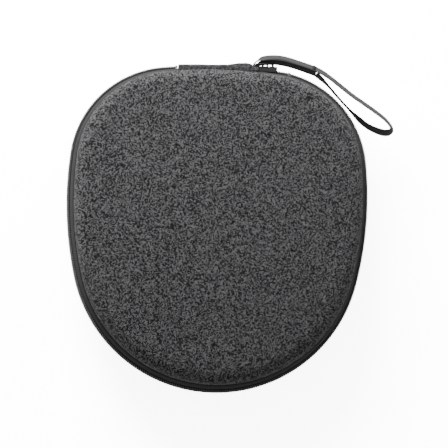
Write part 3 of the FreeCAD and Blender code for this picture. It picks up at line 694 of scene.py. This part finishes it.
def ribbon_tack(piece, rings, long):
    """Bar tack through the doubled ribbon: a close row of cross stitches on its face."""
    rows, tack_half, stitch_half = 13, 2.9, 1.2
    sunk, thread_radius = 0.14, 0.2
    low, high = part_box("ribbon_tacks")
    middle = (Vector(low) + Vector(high)) / 2
    nearest = min(range(len(rings)), key=lambda k: (rings[k] - middle).length)
    ahead = (rings[nearest + 1] - rings[nearest - 1]).normalized()
    lean = Matrix.Rotation(ribbon_tilt(nearest / (len(rings) - 1)), 3, ahead)
    upright = lean @ UP
    outward = upright.cross(ahead)
    face = rings[nearest] + outward * (RIBBON_THICK / 2 + 0.12) * MM
    swell = outward * sunk * MM
    strands = []
    for row in range(rows):
        level = upright * (tack_half * (2 * row / (rows - 1) - 1)) * MM
        ends = [face + level + ahead * x * MM for x in (-stitch_half, 0, stitch_half)]
        strands.append([ends[0] - swell, ends[1] + swell, ends[2] - swell])
    tack = tubes("ribbon_tack", strands, thread_radius, upright)
    finish_piece(tack, "thread", "ribbon", ["ribbon_tacks"])


ribbon_tack(*ribbon())


# ---------------------------------------------------------------- shells

AROUND = 320
STATIONS = [FULL_LENGTH * k / AROUND for k in range(AROUND)]
# Height of the lining's slack waves, which start this far from the parting plane
LINING_SLACK, CREASED_FROM = 0.1, 16


def shell_rows(side, depth, rim, tops):
    """Rows of points of one surface of a shell, at a depth under its cloth, rim first."""
    lid = side == "lid"
    rows = []
    wall_rows, bend_rows = 6, 12
    centres, crowns = [], []
    for distance in STATIONS:
        (x, y), (nx, ny) = outline_point(distance)
        cx, cy = x - (WALL + SHOULDER) * nx, y - (WALL + SHOULDER) * ny
        if lid:
            cz = APEX - CROWN_R + math.sqrt((CROWN_R - SHOULDER) ** 2 - cx**2 - cy**2)
            crown = Vector((cx, cy, cz - (APEX - CROWN_R))).normalized()
        else:
            cz = SHOULDER
            crown = Vector((0, 0, -1))
        centres.append((Vector((cx, cy, cz)), Vector((nx, ny, 0))))
        crowns.append(crown)
    start = mirrored(rim, side)
    for k in range(wall_rows):
        row = []
        for centre, normal in centres:
            height = start + (centre.z - start) * k / wall_rows
            place = centre + normal * (SHOULDER - depth)
            row.append(Vector((place.x, place.y, height)))
        rows.append(row)
    for k in range(bend_rows + 1):
        share = k / bend_rows
        row = []
        for (centre, normal), crown in zip(centres, crowns):
            direction = normal.slerp(crown, share)
            row.append(centre + direction * (SHOULDER - depth))
        rows.append(row)
    edge = rows[-1]
    for k in range(1, tops):
        scale = 1 - k / tops
        row = []
        for point in edge:
            x, y = point.x * scale, point.y * scale
            if lid:
                height = APEX - CROWN_R + math.sqrt((CROWN_R - depth) ** 2 - x * x - y * y)
            else:
                height = depth
            row.append(Vector((x, y, height)))
        rows.append(row)
    return rows


def shell(name, side, outer_depth, inner_depth, rim, slot, replaced, tops=26, slack=0.0):
    """One layer of a shell as a closed thin cloth with a rounded edge at the rim."""
    outer = shell_rows(side, outer_depth, rim, tops)
    inner = shell_rows(side, inner_depth, rim, tops)
    half = (inner_depth - outer_depth) / 2
    up = 1 if side == "lid" else -1
    hem = []
    for first, second in zip(outer[0], inner[0]):
        middle = (first + second) / 2
        hem.append(Vector((middle.x, middle.y, middle.z - up * half)))
    for point in outer[0] + inner[0]:
        point.z += up * half * 0.4
    rows = list(reversed(outer)) + [hem] + inner
    vertices = [point for row in rows for point in row]
    wide = len(STATIONS)
    first_pole, last_pole = len(vertices), len(vertices) + 1
    height_out = APEX - outer_depth if side == "lid" else outer_depth
    height_in = APEX - inner_depth if side == "lid" else inner_depth
    vertices += [Vector((0, 0, height_out)), Vector((0, 0, height_in))]
    faces = grid_faces(len(rows), wide)
    last = (len(rows) - 1) * wide
    for k in range(wide):
        faces.append((first_pole, (k + 1) % wide, k))
        faces.append((last_pole, last + k, last + (k + 1) % wide))
    for vertex in vertices:
        if abs(vertex.z - PARTING) > CREASED_FROM:
            wave = math.sin(vertex.x / 19) * math.cos(vertex.y / 23) + 0.5 * math.sin(vertex.y / 11)
            vertex.z += slack * wave
    piece = make_solid(name, [vertex * MM for vertex in vertices], faces)
    finish_piece(piece, slot, side, replaced)


def shells():
    for side in ("lid", "base"):
        fabric, lining = [f"{side}_outer_fabric"], [f"{side}_lining"]
        shell(f"{side}_cloth", side, 0, CLOTH_BACK, RIM, "outer_fabric", fabric)
        lining_rim = RIM + 0.2
        name = f"{side}_tricot"
        shell(name, side, LINING_BACK, LINING_FACE, lining_rim, "lining", lining, 20, LINING_SLACK)


shells()


# ---------------------------------------------------------------- zip and bead

# Insets from the closed zip line, and heights from the parting plane
BEAD_INSET, BEAD_HEIGHT, BEAD_HALF_WIDE, BEAD_HALF_TALL = 4.95, 7.8, 0.75, 0.85
TAPE_INSET, TAPE_END, TAPE_THICK, TAPE_NEAR, TAPE_FAR, TAPE_BEND = 2.3, 10.3, 0.6, 1.2, 7.0, 4.6
COIL_PITCH, COIL_WIRE = 1.5, 0.38
COIL_INSET, COIL_HEIGHT, COIL_HALF_WIDE, COIL_HALF_TALL = 1.15, 1.62, 0.82, 1.45
CORD_INSET, CORD_HALF_WIDE, CORD_HALF_TALL = 1.38, 0.98, 0.6
SEAM_INSET, SEAM_HEIGHT, SEAM_WAVE, SEAM_THREAD = 2.1, 2.75, 0.12, 0.15
# Where the coil ends at the left of the hinge and, inside the slider, at its right
COIL_LEFT, COIL_RIGHT = -28.4, 32.5
# Pitches of the stitches that pull in the bead and the tape
BEAD_STITCH, TAPE_STITCH = 2.6, 2.1


def oval(inset, dz, half_inset, half_dz, count=12):
    """Points of an oval section round a centre."""
    angles = [TAU * k / count for k in range(count)]
    return [(inset + half_inset * math.cos(a), dz + half_dz * math.sin(a)) for a in angles]


def bead(side):
    """Cloth-covered cord round the shell's edge, with the slight waist of its stitches."""

    def section(distance):
        waist = 1 - 0.05 * (0.5 + 0.5 * math.cos(distance / BEAD_STITCH * TAU))
        half_wide, half_tall = BEAD_HALF_WIDE * waist, BEAD_HALF_TALL * waist
        points = oval(BEAD_INSET, BEAD_HEIGHT, half_wide, half_tall)
        return [(inset, mirrored(dz, side)) for inset, dz in points]

    piece = swept_band(f"{side}_welt", section, 0, FULL_LENGTH, 0.65, closed=True)
    # The bead's near-black is painted shade for the crease between the shell's cloth and the zip
    # band.
    finish_piece(piece, "bead", side, [f"{side}_bead"])


def curled_path(inset, near, far, bend, end, count):
    """Even points up a band's face: straight from near, a quarter bend, then in to end."""
    line = [(inset, near + (far - bend - near) * k / 8) for k in range(8)]
    for k in range(17):
        angle = math.pi / 2 * k / 16
        line.append((inset + bend * (1 - math.cos(angle)), far - bend + bend * math.sin(angle)))
    line.append((end, far))
    lengths = np.concatenate([[0], np.cumsum(np.hypot(*np.diff(np.array(line), axis=0).T))])
    even = np.linspace(0, lengths[-1], count)
    xs = np.interp(even, lengths, [point[0] for point in line])
    ys = np.interp(even, lengths, [point[1] for point in line])
    return list(zip(xs.tolist(), ys.tolist()))


def curled_faces(inset, thick, near, far, bend, end, count):
    """Both faces of a curled band, each from its near edge."""
    face = curled_path(inset, near, far, bend, end, count)
    under = curled_path(inset + thick, near, far - thick, bend - thick, end, count)
    return face, under


def tape(side):
    """Woven zip tape, curled in from the coil to the shell's edge."""

    def section(distance):
        inset = TAPE_INSET + 0.03 * math.cos(distance / TAPE_STITCH * TAU)
        sizes = (TAPE_THICK, TAPE_NEAR, TAPE_FAR, TAPE_BEND, TAPE_END)
        face, under = curled_faces(inset, *sizes, 14)
        return [(i, mirrored(dz, side)) for i, dz in face + under[::-1]]

    piece = swept_band(f"{side}_tape", section, 0, FULL_LENGTH, 1.05, closed=True)
    finish_piece(piece, "zip_tape", side, [f"{side}_zip_tape"])


def coil(side):
    """The coil itself: a flattened helix of nylon line round a cord, sewn along its far edge."""
    start, end = distance_at(COIL_RIGHT), FULL_LENGTH + distance_at(COIL_LEFT) - 1.8
    per_turn = 14
    shift = 0.5 if side == "lid" else 0.0
    turns = round((end - start) / COIL_PITCH) - 1
    line, hints = [], []
    for k in range(turns * per_turn + 1):
        angle = TAU * k / per_turn
        distance = start + COIL_PITCH * (shift + k / per_turn)
        inset = COIL_INSET - COIL_HALF_WIDE * math.cos(angle)
        dz = COIL_HEIGHT + COIL_HALF_TALL * math.sin(angle)
        line.append(station(distance, inset, mirrored(dz, side)))
        hints.append(station(distance + 1, inset, mirrored(dz, side)) - line[-1])
    piece = tubes(f"{side}_coil", [line], COIL_WIRE, hints)
    # The coil's grey carries painted highlight for the glints on its teeth.
    finish_piece(piece, "zip_coil", side, [f"{side}_zip_coil"])
    seam = []
    steps = round((end - start) / COIL_PITCH) * 4
    for k in range(steps + 1):
        distance = start + (end - start) * k / steps
        lift = SEAM_WAVE * math.cos(k / 4 * TAU)
        seam.append(station(distance, SEAM_INSET - lift, mirrored(SEAM_HEIGHT, side)))
    core = oval(CORD_INSET, COIL_HEIGHT, CORD_HALF_WIDE, CORD_HALF_TALL)
    section = [(inset, mirrored(dz, side)) for inset, dz in core]
    inner = swept_band(f"{side}_coil_cord", section, start, end, COIL_PITCH)
    finish_piece(inner, "zip_tape", side)
    outer = tubes(f"{side}_coil_seam", [seam], SEAM_THREAD, UP, 5)
    finish_piece(outer, "thread", side)


def zip_parts():
    for side in ("lid", "base"):
        bead(side)
        tape(side)
        coil(side)


zip_parts()


# ---------------------------------------------------------------- hinge

HINGE_LEFT, HINGE_RIGHT = -28.0, 23.6
# How far the strip over the hinge stands out, at places from left to right
HINGE_SWELL = (
    (-28.0, 0.3),
    (-17.0, -0.1),
    (-7.0, -0.5),
    (3.0, 0.0),
    (7.0, 0.9),
    (11.4, 1.9),
    (16.0, 2.4),
    (19.3, 1.8),
    (19.9, 0.0),
    (23.6, 0.0),
)


def hinge_swell(x):
    """How far the hinge strip stands out at one x."""
    for (low, first), (high, second) in zip(HINGE_SWELL, HINGE_SWELL[1:]):
        if x <= high:
            break
    return first + (second - first) * smooth_step(low, high, x)


def bent_strip(name, slot, replaced, inset, thick, tall, bend, end, across, swell):
    """Strip over the hinge: upright, and where it has a bend, turned in at both edges.
    """
    start, stop = distance_at(HINGE_LEFT), distance_at(HINGE_RIGHT)
    if bend:
        half, under = curled_faces(inset, thick, 0, tall, bend, end, across)
    else:
        half = [(inset, tall * k / (across - 1)) for k in range(across)]
        under = [(inset + thick, dz) for _, dz in half]
    face = [(i, -dz) for i, dz in half[:0:-1]] + half
    back = [(i, -dz) for i, dz in under[:0:-1]] + under

    def section(distance):
        x = outline_point(distance)[0][0]
        points = []
        for i, dz in face + back[::-1]:
            out = swell * hinge_swell(x) * (1 - (dz / tall) ** 4)
            points.append((i - out, PARTING + dz))
        return points

    piece = swept_band(name, section, start, stop, 0.3)
    piece.data.materials.append(MATERIALS[slot])
    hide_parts(replaced)
    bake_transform(piece)


def hinge():
    """The woven strip outside, and the flat gusset of lining inside."""
    webbing = {"inset": 0.4, "thick": 1.1, "tall": 11.2, "bend": 4.6, "end": 5.0, "across": 21}
    gusset = {"inset": INNER_EDGE, "thick": 0.8, "tall": 10.0, "bend": 0, "end": 0, "across": 17}
    bent_strip("hinge_webbing", "hinge_webbing", "hinge_spine", swell=1, **webbing)
    bent_strip("hinge_lining", "lining", "hinge_gusset", swell=0, **gusset)


hinge()


# ---------------------------------------------------------------- inside

EDGE_DISTANCES = np.linspace(0, HALF_LENGTH, 400)
# The binding's near and far edges, and the row, pitch and thread of its stitches
BINDING_NEAR, BINDING_FAR, BINDING_ROUND = 6.4, 10.0, 0.3
STITCH_ROW, BINDING_STITCH, STITCH_THREAD = 8.9, 3.0, 0.17
# Height of the pocket's net
NET_LEVEL = 37.75


def inner_edge(inset):
    """Right half of the outline set in by inset, as arrays of x and y in millimetres."""
    points = [outline_point(distance) for distance in EDGE_DISTANCES]
    xs = [x - inset * nx for (x, _), (nx, _) in points]
    ys = [y - inset * ny for (_, y), (_, ny) in points]
    return np.array(xs), np.array(ys)


def binding(side):
    """Folded tape over the rim's inner edge, with a row of stitches."""

    def section(distance):
        pull = 0.06 * math.cos(distance / BINDING_STITCH * TAU)
        near, far, bend = BINDING_NEAR, BINDING_FAR, BINDING_ROUND
        face = INNER_EDGE - max(0, pull)
        points = [(TAPE_END, near), (face - bend, near), (face, near + bend), (face, 8.0)]
        points += [(face, far - bend), (face - bend, far), (TAPE_END, far)]
        return [(inset, mirrored(dz, side)) for inset, dz in points]

    piece = swept_band(f"{side}_edge_binding", section, 0, FULL_LENGTH, 1.0, closed=True)
    finish_piece(piece, "binding", side, [f"{side}_binding"])
    stitches = []
    count = round(FULL_LENGTH / BINDING_STITCH)
    for k in range(count):
        middle = FULL_LENGTH * k / count
        if distance_at(HINGE_LEFT) < middle < distance_at(HINGE_RIGHT):
            continue
        if middle > FULL_LENGTH + distance_at(HINGE_LEFT):
            continue
        line = []
        for offset, lift in ((-1.1, -0.1), (-0.6, 0.08), (0.6, 0.08), (1.1, -0.1)):
            line.append(station(middle + offset, INNER_EDGE + lift, mirrored(STITCH_ROW, side)))
        stitches.append(line)
    seam = tubes(f"{side}_binding_seam", stitches, STITCH_THREAD, UP, 5)
    finish_piece(seam, "thread", side)


def net():
    """Honeycomb net of the lid's pocket: upright strands that meet their neighbours in turn.

    The area it gives is half its strands' own surface, and not the flat area of the cut with its
    holes, which is about twice as much.
    """
    inset, mouth, level = INNER_EDGE + 0.2, 9.5, NET_LEVEL
    pitch, wave, gap = 2.2, 4.4, 0.12
    xs, ys = inner_edge(inset)
    front = ys < mouth
    order = np.argsort(xs[front])
    edge_x, edge_y = xs[front][order], ys[front][order]
    widest = float(edge_x.max())
    strands, area = [], 0.0
    for column in range(-int(widest / pitch), int(widest / pitch) + 1):
        x = column * pitch
        low = float(np.interp(abs(x), edge_x, edge_y))
        count = max(2, round((mouth - low) / (wave / 6)))
        line = []
        for k in range(count + 1):
            y = low + (mouth - low) * k / count
            swing = (pitch / 2 - gap) * math.cos(y / wave * TAU) * (1 if column % 2 else -1)
            line.append((x + swing, y))
        strands.append(line)
    vertices, faces = [], []
    half_wide, half_thick = 0.25, 0.17
    for line in strands:
        offset = len(vertices)
        for x, y in line:
            for right, top in ((-1, -1), (1, -1), (1, 1), (-1, 1)):
                corner = Vector((x + right * half_wide, y, level + top * half_thick))
                vertices.append(corner * MM)
        area += sum(math.dist(a, b) for a, b in zip(line, line[1:])) * 2 * (half_wide + half_thick)
        faces += grid_faces(len(line), 4, offset=offset)
        faces += end_caps(offset, 4, len(vertices))
    piece = make_solid("pocket_netting", vertices, faces)
    finish_piece(piece, "mesh", "lid", ["pocket_net"])
    deep = mouth - float(edge_y.min())
    return piece, 2 * widest, deep, area


def hem():
    """Gathered elastic along the pocket's mouth."""
    low, high, level, thick = 8.0, 17.0, NET_LEVEL, 1.6
    xs, ys = inner_edge(INNER_EDGE)
    rear = (ys < high + 3) & (ys > low - 3)
    order = np.argsort(ys[rear])
    columns, across = 300, 13
    rng = random.Random(7)
    phases = [rng.uniform(0, TAU) for _ in range(3)]
    vertices = []
    for k in range(columns):
        u = -1 + 2 * k / (columns - 1)
        top, bottom = [], []
        for j in range(across):
            y = low + (high - low) * j / (across - 1)
            reach = float(np.interp(y, ys[rear][order], xs[rear][order])) - 0.1
            x = u * reach
            gather = 0.22 * math.sin(x * TAU / 3.4 + phases[0] + 0.5 * math.sin(x / 7 + phases[1]))
            gather += 0.1 * math.sin(x * TAU / 1.7 + phases[2])
            channel = 0.18 * math.cos((j / (across - 1) - 0.5) * 3 * TAU)
            edge = 0.35 + 0.65 * math.sin(math.pi * (0.08 + 0.84 * j / (across - 1)))
            half = (thick / 2 - 0.35) * edge
            top.append(Vector((x, y, level + half + gather * 0.6 + channel * 0.4)) * MM)
            bottom.append(Vector((x, y, level - half + gather * 0.6 - channel * 0.4)) * MM)
        vertices += top + bottom[::-1]
    wide = 2 * across
    faces = grid_faces(columns, wide) + end_caps(0, wide, len(vertices))
    piece = make_solid("pocket_elastic", vertices, faces)
    finish_piece(piece, "elastic", "lid", ["pocket_hem"])
    return piece


def piping():
    """Round piping that holds the net's curved edge to the wall."""
    ys = inner_edge(INNER_EDGE)[1]
    start = float(np.interp(-8.0, -ys, EDGE_DISTANCES))

    def section(distance):
        waist = 1 - 0.06 * (0.5 + 0.5 * math.cos(distance / 2.8 * TAU))
        return oval(11.9, 39.5, 0.78 * waist, 1.45 * waist, 14)

    piece = swept_band("pocket_cording", section, start, FULL_LENGTH - start, 0.7)
    finish_piece(piece, "binding", "lid", ["pocket_piping"])
    return piece


def rest_pad():
    """Padded rest in the base: a crowned stadium, pinched along its seam and at its foot."""
    seam, side_share, foot_in, belly_out = 0.62, 0.55, 1.2, 0.5
    pinched, crown_in, dome = 0.55, 6.5, 0.4
    low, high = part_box("rest_cover")
    centre = (Vector(low) + Vector(high)) / 2 / MM
    size = (Vector(high) - Vector(low)) / MM
    floor, tall = low[2] / MM, size.z
    around, up = 140, 26
    half_y = size.y / 2
    straight = size.x / 2 - half_y
    plan = []
    perimeter = 4 * straight + TAU * half_y
    for k in range(around):
        run = perimeter * k / around
        if run < straight:
            plan.append((run, half_y, 0, 1))
        elif run < straight + math.pi * half_y:
            angle = (run - straight) / half_y
            nx, ny = math.sin(angle), math.cos(angle)
            plan.append((straight + half_y * nx, half_y * ny, nx, ny))
        elif run < 3 * straight + math.pi * half_y:
            plan.append((straight - (run - straight - math.pi * half_y), -half_y, 0, -1))
        elif run < 3 * straight + TAU * half_y:
            angle = (run - 3 * straight - math.pi * half_y) / half_y
            nx, ny = -math.sin(angle), -math.cos(angle)
            plan.append((-straight + half_y * nx, half_y * ny, nx, ny))
        else:
            plan.append((-straight + run - 3 * straight - TAU * half_y, half_y, 0, 1))
    vertices = []
    for level in range(up):
        part = level / (up - 1)
        for x, y, nx, ny in plan:
            if part < side_share:
                rise = part / side_share * seam
                belly = belly_out * math.sin(math.pi * rise / seam)
                inward = foot_in - belly
                height = floor + tall * rise
            else:
                angle = (part - side_share) / 0.45 * math.pi / 2
                inward = foot_in + 0.1 + crown_in * (1 - math.cos(angle))
                crown = tall * (1 - seam) - dome
                height = floor + tall * seam + crown * (1 - (1 - math.sin(angle)) ** 1.2)
            px, py = x - inward * nx, y - inward * ny
            pinch = pinched * math.exp(-(((height - floor - tall * seam) / 0.8) ** 2))
            ripple = 0.12 * math.sin(px * 0.9 + py * 0.7) * math.sin(math.pi * part)
            px -= (pinch + ripple) * nx
            py -= (pinch + ripple) * ny
            vertices.append(Vector((centre.x + px, centre.y + py, height)))
    ring = vertices[-around:]
    rings = 8
    for k in range(1, rings):
        scale = 1 - k / rings
        for point in ring:
            x = centre.x + (point.x - centre.x) * scale
            y = centre.y + (point.y - centre.y) * scale
            vertices.append(Vector((x, y, point.z + dome * (1 - scale**2))))
    faces = grid_faces(up + rings - 1, around)
    top = len(vertices)
    vertices.append(Vector((centre.x, centre.y, ring[0].z + dome)))
    last = (up + rings - 2) * around
    for k in range(around):
        faces.append((last + k, last + (k + 1) % around, top))
    faces.append(tuple(range(around))[::-1])
    piece = make_solid("headset_pad", [vertex * MM for vertex in vertices], faces)
    finish_piece(piece, "lining", "base", ["rest_cover"])
    cord_line = []
    for x, y, nx, ny in plan + plan[:2]:
        place = (centre.x + x - 1.25 * nx, centre.y + y - 1.25 * ny, floor + tall * seam)
        cord_line.append(Vector(place) * MM)
    welt = tubes("headset_pad_piping", [cord_line], 0.5, UP, 8)
    finish_piece(welt, "binding", "base")


def inside():
    for side in ("lid", "base"):
        binding(side)
    netting, wide, deep, area = net()
    hem()
    piping()
    rest_pad()


inside()


# ---------------------------------------------------------------- carried-over parts

def carried_over():
    """Hard parts and hidden foam keep their frame shapes and get their finishes."""
    finishes = {
        "slider_body": "slider_paint",
        "slider_bail": "slider_paint",
        "pull_ring": "ring_wire",
        # The stops share the coil's material, with its painted highlight.
        "base_zip_stops": "zip_coil",
        "lid_zip_stops": "zip_coil",
        "base_shell_core": "foam",
        "lid_shell_core": "foam",
        "headset_rest": "foam",
    }
    for node, finish in finishes.items():
        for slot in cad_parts[node].material_slots:
            slot.material = MATERIALS[finish]


carried_over()
studio()
